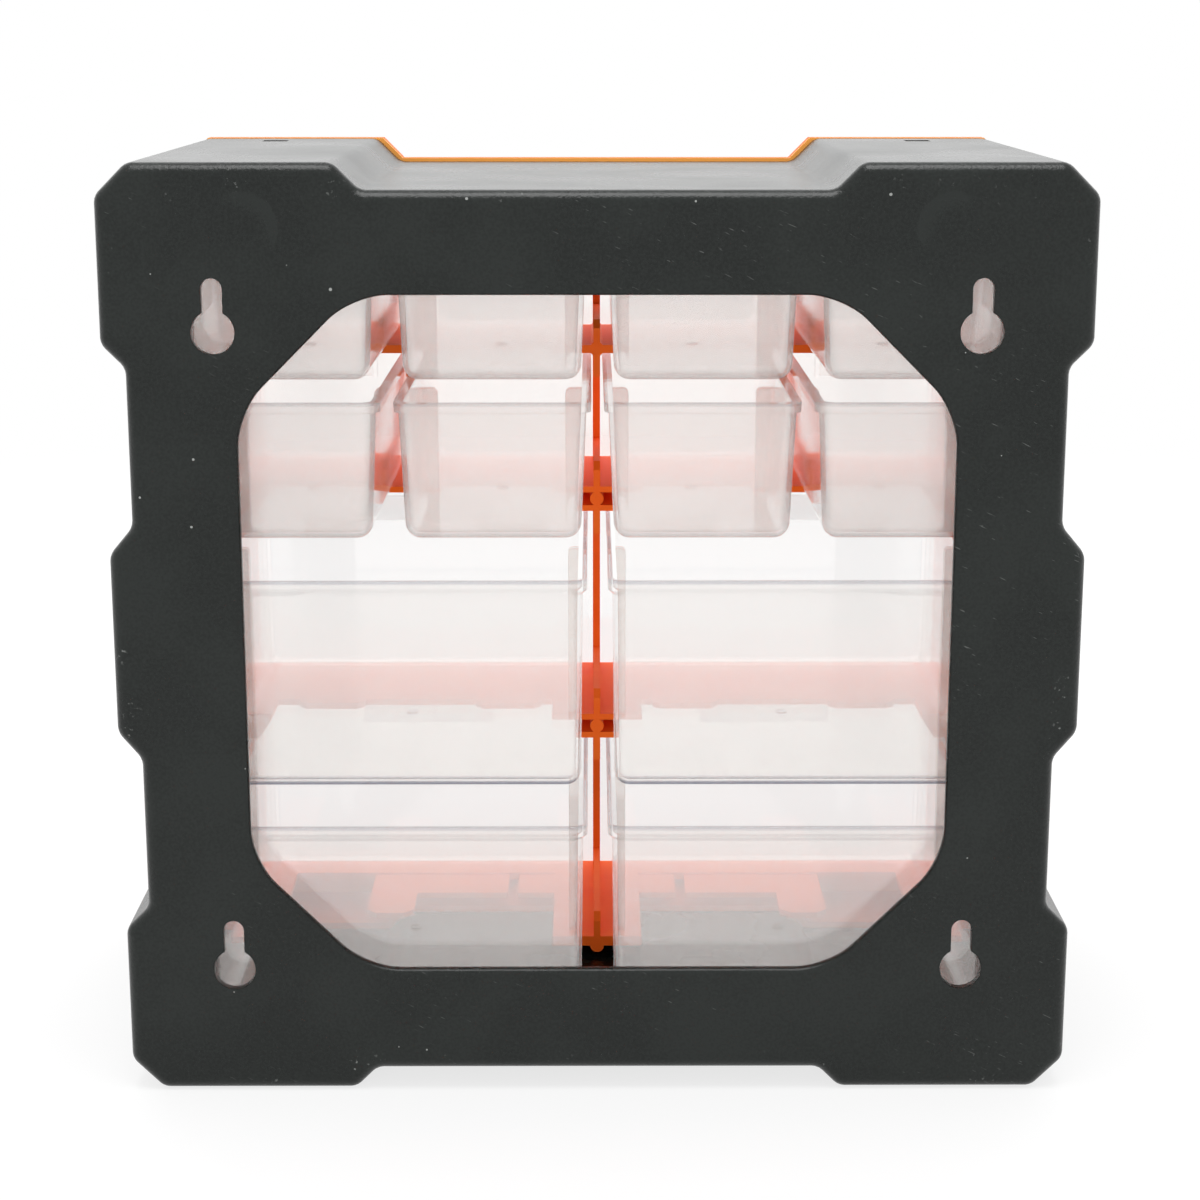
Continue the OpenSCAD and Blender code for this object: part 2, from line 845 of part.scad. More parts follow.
module small_drawer(column, deck) {
    color("#e6e2da")
        translate([(column + 0.5 - columns / 2) * column_pitch, panel_y, deck + floor_gap])
            union() {
                tub(small_w, small_h, small_draft, small_rim_h, rim_out + drawer_wall);
                divider_ribs(small_w, small_h, small_draft, small_rib_out);
                front_panel(small_open_w, small_open_h);
                pull(small_pull_w, small_open_h);
            }
}

module wide_drawer(side, deck) {
    color("#dfe6ea")
        translate([side * column_pitch, panel_y, deck + floor_gap])
            union() {
                tub(wide_w, wide_h, wide_draft, wide_rim_h, drawer_wall);
                divider_ribs(wide_w, wide_h, wide_draft, wide_rib_out);
                front_panel(wide_open_w, wide_open_h);
                pull(wide_pull_w, wide_open_h);
            }
}

casing();
front_frame();
small_drawer(0, deck_1);  // small_drawer_1
small_drawer(1, deck_1);  // small_drawer_2
small_drawer(2, deck_1);  // small_drawer_3
small_drawer(3, deck_1);  // small_drawer_4
small_drawer(0, deck_2);  // small_drawer_5
small_drawer(1, deck_2);  // small_drawer_6
small_drawer(2, deck_2);  // small_drawer_7
small_drawer(3, deck_2);  // small_drawer_8
wide_drawer(-1, deck_3);  // wide_drawer_1
wide_drawer(1, deck_3);  // wide_drawer_2
wide_drawer(-1, deck_4);  // wide_drawer_3
wide_drawer(1, deck_4);  // wide_drawer_4
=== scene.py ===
from math import pi, radians, tan

import bmesh
import bpy
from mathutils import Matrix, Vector


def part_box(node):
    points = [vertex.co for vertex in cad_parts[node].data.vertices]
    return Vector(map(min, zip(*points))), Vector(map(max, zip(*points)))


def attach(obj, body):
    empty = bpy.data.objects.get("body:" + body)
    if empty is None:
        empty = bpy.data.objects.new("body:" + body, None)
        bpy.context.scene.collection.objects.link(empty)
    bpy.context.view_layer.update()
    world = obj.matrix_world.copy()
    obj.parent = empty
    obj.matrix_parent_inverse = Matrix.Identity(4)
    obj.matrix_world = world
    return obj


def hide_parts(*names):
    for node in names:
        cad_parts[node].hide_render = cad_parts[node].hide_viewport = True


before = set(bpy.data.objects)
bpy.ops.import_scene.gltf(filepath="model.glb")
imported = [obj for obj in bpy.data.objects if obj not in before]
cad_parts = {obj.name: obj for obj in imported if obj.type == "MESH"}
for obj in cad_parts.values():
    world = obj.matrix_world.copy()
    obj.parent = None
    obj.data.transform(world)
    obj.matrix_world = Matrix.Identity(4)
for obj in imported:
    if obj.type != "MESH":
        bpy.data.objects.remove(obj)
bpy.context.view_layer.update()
scene = bpy.context.scene
mm = 0.001
touch = 0.01 * mm  # nearer than this counts as the same place
squareOn = 0.9     # a normal this far along an axis counts as facing it
print("frame loaded:", len(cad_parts), "nodes")


# Modelling helpers

meshCare = {
    "sortFrom": (0.9, 1.7, 2.3),  # off every axis, so that no two corners are equally far away
    "merge": 0.01 * mm,
    "sliver": 0.005 * mm,
    "smoothUnder": 35,  # degrees
    "faceWeight": 80,   # how far large faces rule the shading
    "sharpFrom": 60,    # degrees, for edges that get eased
}


def objectMode():
    if bpy.context.mode != "OBJECT":
        bpy.ops.object.mode_set(mode="OBJECT")


def pickObject(piece):
    objectMode()
    bpy.ops.object.select_all(action="DESELECT")
    piece.select_set(True)
    bpy.context.view_layer.objects.active = piece


def settle():  # place, turn and scale go into the mesh
    bpy.ops.object.transform_apply(location=True, rotation=True, scale=True)


def freshPrimitive(name, add, **settings):
    objectMode()
    bpy.ops.object.select_all(action="DESELECT")
    add(**settings)
    piece = bpy.context.object
    piece.name = name
    return piece


def freshBox(name, low, high):
    size = [b - a for a, b in zip(low, high)]
    middle = [(a + b) / 2 for a, b in zip(low, high)]
    box = freshPrimitive(name, bpy.ops.mesh.primitive_cube_add, size=1, location=middle)
    box.scale = size
    settle()
    return box


def freshRod(name, middle, radius, length, along, sides):
    turn = {"X": (0, pi / 2, 0), "Y": (pi / 2, 0, 0), "Z": (0, 0, 0)}[along]
    rod = freshPrimitive(
        name, bpy.ops.mesh.primitive_cylinder_add,
        vertices=sides, radius=radius, depth=length, location=middle, rotation=turn,
    )
    settle()
    return rod


def choose(piece, kind, wanted):  # edit mode, with only the wanted corners, edges or faces selected
    pickObject(piece)
    modes = [kind == each for each in ("corner", "edge", "face")]
    bpy.context.tool_settings.mesh_select_mode = modes
    bpy.ops.object.mode_set(mode="EDIT")
    bpy.ops.mesh.select_all(action="DESELECT")
    shape = bmesh.from_edit_mesh(piece.data)
    shape.normal_update()
    parts = {"corner": shape.verts, "edge": shape.edges, "face": shape.faces}[kind]
    for part in parts:
        if wanted(part):
            part.select_set(True)
    shape.select_flush_mode()
    bmesh.update_edit_mesh(piece.data)


def chooseAll(piece):
    choose(piece, "face", lambda face: True)
    bpy.ops.mesh.select_all(action="SELECT")


def edgeEnds(edge):
    return edge.verts[0].co, edge.verts[1].co


def bothEnds(edge, test):
    a, b = edgeEnds(edge)
    return test(a) and test(b)


def runsAlong(edge, axis, least):
    a, b = edgeEnds(edge)
    return abs(a[axis] - b[axis]) > least


def isSharp(edge):
    return edge.calc_face_angle(0) > radians(meshCare["sharpFrom"])


def move(shift):  # what is selected in edit mode
    bpy.ops.transform.translate(value=shift)


def stretch(factors, centre):
    bpy.ops.transform.resize(value=factors, center_override=centre)


def bevel(offset, segments):
    bpy.ops.mesh.bevel(offset=offset, segments=segments, affect="EDGES", clamp_overlap=False)


def applyModifier(piece, kind, **settings):
    pickObject(piece)
    step = piece.modifiers.new(kind.lower(), kind)
    for name, value in settings.items():
        setattr(step, name, value)
    bpy.ops.object.modifier_apply(modifier=step.name)


def thicken(piece, wall):  # inwards
    applyModifier(piece, "SOLIDIFY", thickness=wall, offset=-1, use_even_offset=True)


def combine(piece, tool, operation):
    applyModifier(piece, "BOOLEAN", operation=operation, object=tool, solver="EXACT")
    bpy.data.objects.remove(tool)


def cutAway(piece, tool):
    combine(piece, tool, "DIFFERENCE")


def joinOn(piece, tool):
    combine(piece, tool, "UNION")


def copyOf(piece, name, shift):
    made = piece.copy()
    made.data = piece.data.copy()
    made.name = name
    made.data.name = name
    scene.collection.objects.link(made)
    pickObject(made)
    made.location = shift
    settle()
    return made


def sortMesh():  # cuts leave corners in a chance order, and a fixed one merges them alike each run
    scene.cursor.location = meshCare["sortFrom"]
    bpy.ops.mesh.sort_elements(type="CURSOR_DISTANCE", elements={"VERT", "EDGE", "FACE"})
    scene.cursor.location = (0, 0, 0)


def tidyMesh(piece):
    chooseAll(piece)
    sortMesh()
    bpy.ops.mesh.remove_doubles(threshold=meshCare["merge"])
    bpy.ops.mesh.dissolve_degenerate(threshold=meshCare["sliver"])
    pickObject(piece)
    bpy.ops.object.shade_smooth_by_angle(angle=radians(meshCare["smoothUnder"]))
    applyModifier(piece, "WEIGHTED_NORMAL", keep_sharp=True, weight=meshCare["faceWeight"])


# Casing

casingLook = {
    "draft": 1.25 * mm,         # growth from the back to the front edge
    "wall": 2.4 * mm,
    "cornerCut": 8.5 * mm,
    "cornerRound": 1.65 * mm,   # set-back of the rounding along the outline's corners
    "cornerSteps": 3,
    "edgeRound": 3.7 * mm,      # round the back
    "edgeSteps": 9,
    "longEdge": 100.0 * mm,     # only edges of the outline run this far along the depth
    "sideNotch": 6.3 * mm,
    "topNotch": 7.0 * mm,
    "baseNotch": 5.8 * mm,
    "notchHalf": 61.0 * mm,     # half width of the notches in the top and base
    "notchStart": 31.8 * mm,    # notch floor in a side, from mid height
    "notchEnd": 73.8 * mm,
    "notchSlope": 7.5 / 6.3,    # run over depth, on the slope nearer mid height
    "notchOver": 5.0 * mm,      # a notch cutter's overlap at the front and back
    "spare": 3.0 * mm,          # how far a notch cutter stands out
    "windowSide": 35.1 * mm,
    "windowTop": 33.7 * mm,
    "windowBase": 35.4 * mm,
    "windowCut": 30.6 * mm,
    "windowTurn": 45,           # degrees, at each corner of the window
    "windowRound": 22.0 * mm,
    "windowSteps": 10,
    "windowBevel": 1.5 * mm,
    "bevelSteps": 5,
    "windowReach": 10.0 * mm,   # half depth of the window cutter
    "keyholeX": 99.4 * mm,
    "keyholeZ": (35.5 * mm, 209.9 * mm),
    "keyholeHead": 5.65 * mm,
    "headSides": 64,
    "keyholeSlot": 2.75 * mm,
    "slotSides": 32,
    "keyholeRise": 11.2 * mm,
    "keyholeEase": 0.35 * mm,
    "easeSteps": 2,
    "keyholeRing": 0.5 * mm,    # room round a keyhole where its edges are looked for
    "keyholeReach": 7.0 * mm,   # half depth of a keyhole cutter
    "hookSlot": (98.0 * mm, 3.8 * mm, -50.75 * mm, -43.55 * mm),  # x, half width, near y, far y
    "hookReach": 4.8 * mm,
}


def wedge(name, low, high, mouth, spread, shift):  # box that widens towards its mouth, with draft
    tool = freshBox(name, low, high)
    axis, sign = mouth
    across = 0 if axis == 2 else 2
    edge = high[axis] if sign > 0 else low[axis]
    middle = (low[across] + high[across]) / 2
    atMouth = lambda v: abs(v.co[axis] - edge) < touch
    for side, amount in zip((-1, 1), spread):
        outward = [0, 0, 0]
        outward[across] = side * amount
        choose(tool, "corner", lambda v: atMouth(v) and (v.co[across] - middle) * side > 0)
        move(outward)
    choose(tool, "corner", lambda v: v.co.y < 0)
    move(shift)
    return tool


def cutNotches(body, look, half, top, near, far):
    draft, spare = look["draft"], look["spare"]
    deep, rise, drop = look["sideNotch"], look["baseNotch"], look["topNotch"]
    outer = deep + spare
    inner = outer * look["notchSlope"]
    for side in (-1, 1):
        for up in (-1, 1):
            levels = sorted(top / 2 + up * look[key] for key in ("notchStart", "notchEnd"))
            xs = sorted((side * (half - deep), side * (half + spare)))
            spread = (inner, outer) if up > 0 else (outer, inner)
            cutAway(body, wedge(
                "side_notch_tool", (xs[0], near, levels[0]), (xs[1], far, levels[1]),
                (0, side), spread, (side * draft, 0, 0),
            ))
    wide = look["notchHalf"]
    cutAway(body, wedge(
        "top_notch_tool", (-wide, near, top - drop), (wide, far, top + spare),
        (2, 1), (drop + spare, drop + spare), (0, 0, draft),
    ))
    cutAway(body, wedge(
        "base_notch_tool", (-wide, near, -spare), (wide, far, rise),
        (2, -1), (rise + spare, rise + spare), (0, 0, 0),
    ))


def makeShell(look, high, near, half, top):  # open at the front
    back = high[1]
    body = freshBox("casing_shell", (-half, near, 0), (half, back, top))
    outline = lambda e: runsAlong(e, 1, look["longEdge"])
    choose(body, "edge", outline)
    bevel(look["cornerCut"], 1)
    choose(body, "corner", lambda v: v.co.y < 0)
    stretch((high[0] / half, 1, high[2] / top), (0, near, 0))
    cutNotches(body, look, half, top, near - look["notchOver"], back + look["notchOver"])
    choose(body, "edge", outline)
    bevel(look["cornerRound"], look["cornerSteps"])
    choose(body, "edge", lambda e: bothEnds(e, lambda p: p.y > back - touch))
    bevel(look["edgeRound"], look["edgeSteps"])
    choose(body, "face", lambda f: f.normal.y < -squareOn)
    bpy.ops.mesh.delete(type="FACE")
    thicken(body, look["wall"])
    return body


def windowTool(look, half, top, back):
    sideX, reach = half - look["windowSide"], look["windowReach"]
    tool = freshBox(
        "window_tool",
        (-sideX, back - reach, look["windowBase"]),
        (sideX, back + reach, top - look["windowTop"]),
    )
    throughWall = lambda e: runsAlong(e, 1, reach / 2)
    choose(tool, "edge", throughWall)
    bevel(look["windowCut"], 1)
    choose(tool, "edge", throughWall)
    bevel(look["windowRound"] * tan(radians(look["windowTurn"] / 2)), look["windowSteps"])
    objectMode()
    return tool


def cutWindow(body, look, half, top, back):
    cutAway(body, windowTool(look, half, top, back))
    margin = 10 * touch
    side = half - look["windowSide"] + margin
    low, high = look["windowBase"] - margin, top - look["windowTop"] + margin
    onRim = lambda p: p.y > back - touch and abs(p.x) < side and low < p.z < high
    choose(body, "edge", lambda e: bothEnds(e, onRim))
    bevel(look["windowBevel"], look["bevelSteps"])


def keyholeTool(look, x, back, z):
    slot, rise, reach = look["keyholeSlot"], look["keyholeRise"], look["keyholeReach"]
    tool = freshRod(
        "keyhole_tool", (x, back, z), look["keyholeHead"], 2 * reach, "Y", look["headSides"]
    )
    joinOn(tool, freshBox(
        "slot_tool", (x - slot, back - reach, z), (x + slot, back + reach, z + rise)
    ))
    joinOn(tool, freshRod(
        "slot_end_tool", (x, back, z + rise), slot, 2 * reach, "Y", look["slotSides"]
    ))
    return tool


def cutKeyholes(body, look, back):
    x, levels = look["keyholeX"], look["keyholeZ"]
    for side in (-1, 1):
        for z in levels:
            cutAway(body, keyholeTool(look, side * x, back, z))
    reach = look["keyholeHead"] + look["keyholeRing"]
    highest = look["keyholeRise"] + reach

    def onKeyhole(p):
        level = any(-reach < p.z - z < highest for z in levels)
        return level and p.y > back - touch and abs(abs(p.x) - x) < reach

    choose(body, "edge", lambda e: bothEnds(e, onKeyhole))
    bevel(look["keyholeEase"], look["easeSteps"])


def cutHookSlots(body, look, top):  # the front frame's hooks snap into these
    x, half, near, far = look["hookSlot"]
    reach = look["hookReach"]
    for side in (-1, 1):
        for z in (0, top):
            cutAway(body, freshBox(
                "hook_slot_tool",
                (side * x - half, near, z - reach), (side * x + half, far, z + reach),
            ))


def makeCasing():
    look = casingLook
    low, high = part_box("casing")
    near, back = low[1], high[1]
    half, top = high[0] - look["draft"], high[2] - look["draft"]
    body = makeShell(look, high, near, half, top)
    cutWindow(body, look, half, top, back)
    cutKeyholes(body, look, back)
    cutHookSlots(body, look, high[2])
    tidyMesh(body)
    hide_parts("casing")
    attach(body, "carcass")
    print("casing modelled:", len(body.data.polygons), "faces")
    return body


casingShell = makeCasing()


# Drawers

smallDrawer = {
    "kind": "small",
    "width": 52.6 * mm,
    "height": 37.0 * mm,
    "draft": 2.5,               # degrees
    "openWide": 53.6 * mm,      # opening in the front frame
    "openHigh": 40.3 * mm,
    "solidRim": True,           # a bead, not a step in the wall
    "rimHigh": 2.6 * mm,
    "rimEase": 0.55 * mm,
    "ribOut": 3.4 * mm,
    "pullWide": 26.0 * mm,
}
wideDrawer = {
    "kind": "wide",
    "width": 106.3 * mm,
    "height": 58.2 * mm,
    "draft": 0.6,
    "openWide": 109.5 * mm,
    "openHigh": 61.5 * mm,
    "solidRim": False,
    "rimHigh": 4.3 * mm,
    "rimFlare": 1.3 * mm,
    "rimEase": 0.4 * mm,
    "ribOut": 2.6 * mm,
    "pullWide": 46.0 * mm,
}
drawerShape = {
    "length": 142.8 * mm,
    "wall": 1.4 * mm,
    "front": -1.1 * mm,         # outer face of the front wall, inside the panel
    "lift": 0.3 * mm,           # floor above the rails
    "round": 4.1 * mm,
    "roundSteps": 6,
    "rimOut": 1.2 * mm,
    "rimSteps": 3,
    "ribThick": 1.2 * mm,
    "ribSlot": 1.6 * mm,        # between the two ribs of a pair
    "ribDrop": 5.4 * mm,        # below the rim
    "ribPlace": 72.0 * mm,      # from the rear end
    "ribFoot": 0.75,            # share of the tub's rounding, where a rib meets the floor
    "footSteps": 3,
    "headSteps": 4,
    "ribEase": 0.3 * mm,
    "easeFrom": 1 / 8,          # share of a rib's height that stays sharp at its foot
    "panel": 2.0 * mm,
    "panelLap": 0.8 * mm,
    "panelRound": 1.6 * mm,
    "panelSteps": 4,
    "panelEase": 0.45 * mm,
    "easeSteps": 2,
    "pullOut": 6.9 * mm,
    "pullHigh": 11.0 * mm,
    "pullWall": 1.5 * mm,
    "pullDrop": 5.0 * mm,
    "pullEase": 0.5 * mm,
    "pullSteps": 3,
    "pullSides": 64,
    "pullRoot": 0.02 * mm,      # how far a pull reaches into its panel
    "hollowDrop": 0.01 * mm,    # keeps the hollow's lower face clear of the hood's
    "gateAt": 68.0 * mm,        # from the panel
    "gateRadius": 1.7 * mm,
    "gateSides": 32,
    "gateHigh": 0.35 * mm,
    "gateRim": 0.45,            # share of the radius outside the dimple
    "gateDimple": 0.6,          # share of the height
}


def wallHalf(look, z):  # half width of the outer wall at a height
    lean = (look["height"] - z) * tan(radians(look["draft"]))
    return look["width"] / 2 - drawerShape["rimOut"] - lean


def makeTub(look):
    shape = drawerShape
    top = look["height"] if look["solidRim"] else look["height"] - look["rimHigh"]
    half, rear, front = wallHalf(look, top), shape["length"] - shape["rimOut"], shape["front"]
    tub = freshBox(look["kind"] + "_tub", (-half, front, 0), (half, rear, top))
    atFloor = lambda p: p.z < mm
    atFront = lambda p: p.y < mm
    atRear = lambda p: p.y > rear / 2
    choose(tub, "corner", lambda v: atFloor(v.co))
    stretch((wallHalf(look, 0) / half, 1, 1), (0, 0, 0))
    choose(tub, "corner", lambda v: atFloor(v.co) and atRear(v.co))
    move((0, -look["height"] * tan(radians(look["draft"] / 2)), 0))
    rearSide = lambda e: bothEnds(e, atRear) and runsAlong(e, 2, mm)
    floorSide = lambda e: bothEnds(e, atFloor) and not bothEnds(e, atFront)
    choose(tub, "edge", lambda e: rearSide(e) or floorSide(e))
    bevel(shape["round"], shape["roundSteps"])
    choose(tub, "face", lambda f: f.normal.z > squareOn or f.normal.y < -squareOn)
    bpy.ops.mesh.delete(type="FACE")
    if look["solidRim"]:
        thicken(tub, shape["wall"])
        addBead(tub, look)
    else:
        addStep(tub, look, rear, front, top)
        thicken(tub, shape["wall"])
        easeRim(tub, look)
    return tub


def addBead(tub, look):  # solid rounded rim that stands out from the wall
    shape = drawerShape
    level, top = look["height"] - look["rimHigh"], look["height"] - touch
    chooseAll(tub)
    bpy.ops.mesh.bisect(plane_co=(0, 0, level), plane_no=(0, 0, 1))
    middle = Vector((0, shape["length"] / 2, 0))

    def outside(f):
        away = f.calc_center_median() - middle
        return f.normal.x * away.x + f.normal.y * away.y > 0 and abs(f.normal.z) < 0.5

    onBead = lambda f: f.calc_center_median().z > level and outside(f)
    choose(tub, "face", lambda f: onBead(f) and f.normal.y > -squareOn)
    bpy.ops.mesh.extrude_region_shrink_fatten(
        TRANSFORM_OT_shrink_fatten={"value": shape["rimOut"], "use_even_offset": True}
    )

    def beadEdge(e):
        upper = bothEnds(e, lambda p: p.z > top)
        lower = bothEnds(e, lambda p: abs(p.z - level) < touch)
        return (upper or lower) and isSharp(e) and any(outside(f) for f in e.link_faces)

    choose(tub, "edge", beadEdge)
    bevel(look["rimEase"], shape["rimSteps"])
    objectMode()


def addStep(tub, look, rear, front, top):  # the wall flares out to a higher rim
    out, flare = drawerShape["rimOut"], look["rimFlare"]
    half, long = wallHalf(look, top), rear - front
    choose(tub, "edge", lambda e: e.is_boundary and bothEnds(e, lambda p: p.z > top - touch))
    bpy.ops.mesh.extrude_edges_move(TRANSFORM_OT_translate={"value": (0, 0, flare)})
    stretch(((half + out) / half, (long + out) / long, 1), (0, front, 0))
    upright = (0, 0, look["rimHigh"] - flare)
    bpy.ops.mesh.extrude_edges_move(TRANSFORM_OT_translate={"value": upright})
    objectMode()


def easeRim(tub, look):
    level = look["height"] - touch
    choose(tub, "edge", lambda e: bothEnds(e, lambda p: p.z > level) and isSharp(e))
    bevel(look["rimEase"], drawerShape["rimSteps"])
    objectMode()


def addRibs(tub, look):
    shape = drawerShape
    thick = shape["ribThick"]
    low = shape["wall"] / 2
    top = look["height"] - shape["ribDrop"]
    inner = wallHalf(look, 0) - shape["wall"] - look["ribOut"]
    outer = wallHalf(look, top) - low
    lean = wallHalf(look, top) - wallHalf(look, low)
    place = shape["length"] - shape["ribPlace"]
    atFoot = lambda p: p.z < low + 2 * mm
    atHead = lambda p: p.z > top - mm
    atInside = lambda p: abs(p.x) < inner + mm
    atOutside = lambda p: abs(abs(p.x) - outer) < touch

    def ridge(e, test):  # an edge across the rib's thickness
        return runsAlong(e, 1, thick / 2) and test(edgeEnds(e)[0])

    for side in (-1, 1):
        for step in (-1, 1):
            y = place + step * (shape["ribSlot"] + thick) / 2
            xs = sorted((side * inner, side * outer))
            rib = freshBox("rib_tool", (xs[0], y - thick / 2, low), (xs[1], y + thick / 2, top))
            choose(rib, "corner", lambda v: atFoot(v.co) and atOutside(v.co))
            move((-side * lean, 0, 0))
            choose(rib, "edge", lambda e: ridge(e, lambda p: atFoot(p) and not atInside(p)))
            bevel(shape["round"] * shape["ribFoot"], shape["footSteps"])
            choose(rib, "edge", lambda e: ridge(e, lambda p: atHead(p) and atInside(p)))
            bevel(look["ribOut"] / 2, shape["headSteps"])
            free = lambda e: edgeEnds(e)[0].z > top * shape["easeFrom"]
            choose(rib, "edge", lambda e: isSharp(e) and free(e))
            bevel(shape["ribEase"], shape["easeSteps"])
            objectMode()
            joinOn(tub, rib)


def addGate(tub):  # low disc with a dimple where the plastic was fed in
    shape = drawerShape
    radius, high = shape["gateRadius"], shape["gateHigh"]
    middle = (0, shape["gateAt"], shape["wall"])
    disc = freshRod("gate_tool", middle, radius, 2 * high, "Z", shape["gateSides"])
    choose(disc, "face", lambda f: f.normal.z > squareOn)
    bpy.ops.mesh.inset(thickness=radius * shape["gateRim"])
    move((0, 0, -shape["gateDimple"] * high))
    objectMode()
    joinOn(tub, disc)


def makePanel(look):
    shape = drawerShape
    half = look["openWide"] / 2 + shape["panelLap"]
    low = -shape["lift"] - shape["panelLap"]
    high = look["openHigh"] - shape["lift"] + shape["panelLap"]
    panel = freshBox(look["kind"] + "_panel", (-half, -shape["panel"], low), (half, 0, high))
    choose(panel, "edge", lambda e: runsAlong(e, 1, mm))
    bevel(shape["panelRound"], shape["panelSteps"])
    choose(panel, "edge", lambda e: bothEnds(e, lambda p: p.y < -shape["panel"] + touch))
    bevel(shape["panelEase"], shape["easeSteps"])
    objectMode()
    return panel


def quarterOval(name, wide, out, high):  # solid quarter of an oval rod
    rod = freshRod(name, (0, 0, 0), 1, wide, "X", drawerShape["pullSides"])
    chooseAll(rod)
    stretch((1, out, high), (0, 0, 0))
    for normal in ((0, 0, -1), (0, 1, 0)):
        chooseAll(rod)
        bpy.ops.mesh.bisect(plane_co=(0, 0, 0), plane_no=normal, use_fill=True, clear_outer=True)
    objectMode()
    return rod


def addPull(panel, look):
    shape = drawerShape
    wide, out, high, wall = look["pullWide"], shape["pullOut"], shape["pullHigh"], shape["pullWall"]
    hood = quarterOval("pull_hood", wide, out, high)

    def endArc(e):
        atEnd = bothEnds(e, lambda p: abs(p.x) > wide / 2 - touch)
        atMouth = bothEnds(e, lambda p: p.z < touch)
        atPanel = bothEnds(e, lambda p: p.y > -touch)
        return atEnd and not atMouth and not atPanel

    choose(hood, "edge", endArc)
    bevel(shape["pullEase"], shape["pullSteps"])
    hollow = quarterOval("pull_hollow", wide - 2 * wall, out - wall, high - wall)
    chooseAll(hollow)
    move((0, 0, -shape["hollowDrop"]))
    objectMode()
    cutAway(hood, hollow)
    panelTop = look["openHigh"] - shape["lift"] + shape["panelLap"]
    chooseAll(hood)
    move((0, -shape["panel"] + shape["pullRoot"], panelTop - shape["pullDrop"] - high))
    objectMode()
    joinOn(panel, hood)


def makeDrawer(look):
    tub = makeTub(look)
    addRibs(tub, look)
    addGate(tub)
    panel = makePanel(look)
    addPull(panel, look)
    joinOn(tub, panel)
    tidyMesh(tub)
    print(look["kind"], "drawer modelled:", len(tub.data.polygons), "faces")
    return tub


def placeDrawers(look):
    floorUp = drawerShape["lift"] + drawerShape["panelLap"]  # floor above the panel's lower edge
    pattern = makeDrawer(look)
    drawers, places = [], []
    for name in [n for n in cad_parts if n.startswith(look["kind"])]:
        low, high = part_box(name)
        place = ((low[0] + high[0]) / 2, high[1] - drawerShape["length"], low[2] + floorUp)
        drawer = copyOf(pattern, name + "_moulding", place)
        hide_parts(name)
        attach(drawer, name)
        drawers.append(drawer)
        places.append(place)
    bpy.data.objects.remove(pattern)
    return drawers, places


smallDrawers, smallPlaces = placeDrawers(smallDrawer)
wideDrawers, widePlaces = placeDrawers(wideDrawer)
print("drawers placed:", len(smallDrawers), "small,", len(wideDrawers), "wide")


# Shader maths

class Wire:  # one socket of a shader tree, so that shader maths reads as plain maths
    def __init__(self, tree, socket=None):
        self.tree = tree
        self.socket = socket

    def plug(self, value, target):
        if isinstance(value, Wire):
            self.tree.links.new(value.socket, target)
        else:
            target.default_value = value

    def add(self, kind, settings=None, inputs=None, out=0):  # any node, its settings first
        made = self.tree.nodes.new("ShaderNode" + kind)
        for name, value in (settings or {}).items():
            setattr(made, name, value)
        for name, value in (inputs or {}).items():
            self.plug(value, made.inputs[name])
        return Wire(self.tree, made.outputs[out])

    def maths(self, operation, *values):
        return self.add("Math", {"operation": operation}, dict(enumerate(values)))

    def __add__(self, other):
        return self.maths("ADD", self, other)

    def __sub__(self, other):
        return self.maths("SUBTRACT", self, other)

    def __rsub__(self, other):
        return self.maths("SUBTRACT", other, self)

    def __mul__(self, other):
        return self.maths("MULTIPLY", self, other)

    def __truediv__(self, other):
        return self.maths("DIVIDE", self, other)

    def __gt__(self, other):
        return self.maths("GREATER_THAN", self, other)

    def __lt__(self, other):
        return self.maths("LESS_THAN", self, other)

    def __pow__(self, other):
        return self.maths("POWER", self, other)

    __radd__ = __add__
    __rmul__ = __mul__

    def __abs__(self):
        return self.maths("ABSOLUTE", self)

    def larger(self, other):
        return self.maths("MAXIMUM", self, other)

    def fade(self, low, high):  # 0 at low, 1 at high, smooth between
        ends = {"Value": self, "From Min": low, "From Max": high}
        return self.add("MapRange", {"interpolation_type": "SMOOTHSTEP"}, ends)

    def blend(self, dark, light):  # a colour between two, by this wire
        colours = {0: self, 6: dark, 7: light}  # Mix has its colour sockets at 6 and 7
        return self.add("Mix", {"data_type": "RGBA"}, colours, out=2)

    def layered(self, share, under, over):  # two shaders, by a share
        return self.add("MixShader", None, {0: share, 1: under, 2: over})

    def place(self):
        return self.add("TexCoord", out="Object")

    def axis(self, number):  # one coordinate of the place on the piece, in metres
        return self.add("SeparateXYZ", None, {0: self.place()}, out=number)

    def noise(self, size, detail=2.0, stretched=None, turn=0.0):  # size in metres, turn in radians
        at = self.place()
        if stretched:
            about = {"rotation_type": "Y_AXIS"}
            at = self.add("VectorRotate", about, {"Vector": at, "Angle": turn})
            at = self.add("VectorMath", {"operation": "MULTIPLY"}, {0: at, 1: stretched})
        return self.add("TexNoise", None, {"Vector": at, "Scale": 1 / size, "Detail": detail})

    def spots(self, size):  # distance to the nearest spot and that spot's own random value
        sockets = {"Vector": self.place(), "Scale": 1 / size}
        near = self.add("TexVoronoi", None, sockets, out="Distance")
        pick = self.add("TexVoronoi", None, sockets, out="Color")
        return near, self.add("SeparateColor", None, {0: pick})

    def bump(self, height, depth, strength):  # depth in metres
        return self.add("Bump", None, {"Strength": strength, "Distance": depth, "Height": height})


def newMaterial(name):
    made = bpy.data.materials.new(name)
    made.use_nodes = True
    made.node_tree.nodes.clear()
    return made, Wire(made.node_tree)


def finishMaterial(made, shader):
    out = made.node_tree.nodes.new("ShaderNodeOutputMaterial")
    made.node_tree.links.new(shader.socket, out.inputs["Surface"])
    return made


# Finishes

